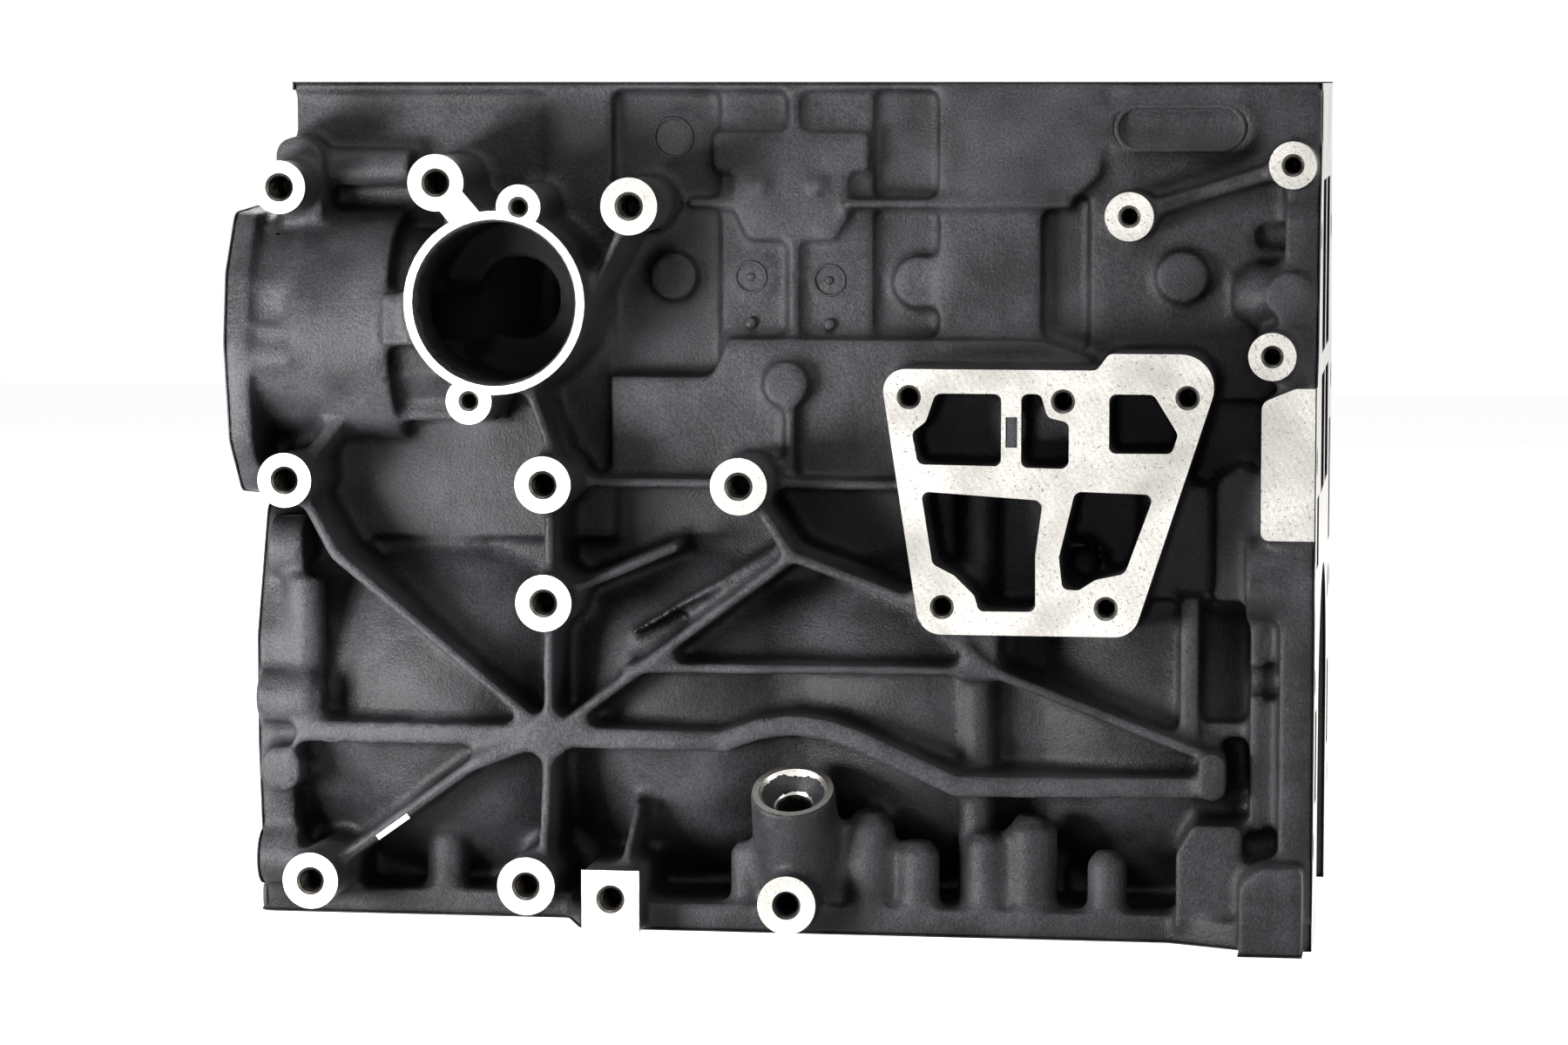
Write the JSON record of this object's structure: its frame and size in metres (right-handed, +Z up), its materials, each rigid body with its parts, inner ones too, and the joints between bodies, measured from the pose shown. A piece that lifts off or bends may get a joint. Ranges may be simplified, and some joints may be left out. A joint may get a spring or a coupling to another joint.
{
  "type": "engine block",
  "caption": "Grey iron inline engine block with bored cylinders, main bearing caps, ribbed crankcase, milled accessory bosses, thermostat pocket, pump housing and filter flange.",
  "frame": {"origin": "on the crankshaft axis at the middle main bearing", "axes": "+X along the crank to the gearbox end, +Z up the cylinders to the head face, -Y out of the accessory side"},
  "size_m": [0.3995, 0.229, 0.312],
  "materials": {
    "casting": "black dip-painted cast skin, milled faces bright",
    "cap_iron": "machined grey iron",
    "bolt_steel": "phosphated steel",
    "plug_steel": "zinc-plated steel"
  },
  "bodies": {
    "root": {"block_casting": "casting", "main_bearing_cap_1": "cap_iron", "main_bearing_cap_2": "cap_iron", "main_bearing_cap_3": "cap_iron", "main_bearing_cap_4": "cap_iron", "main_bearing_cap_5": "cap_iron", "main_cap_bolts": "bolt_steel", "core_plugs": "plug_steel", "gallery_plugs": "plug_steel"}
  },
  "joints": []
}
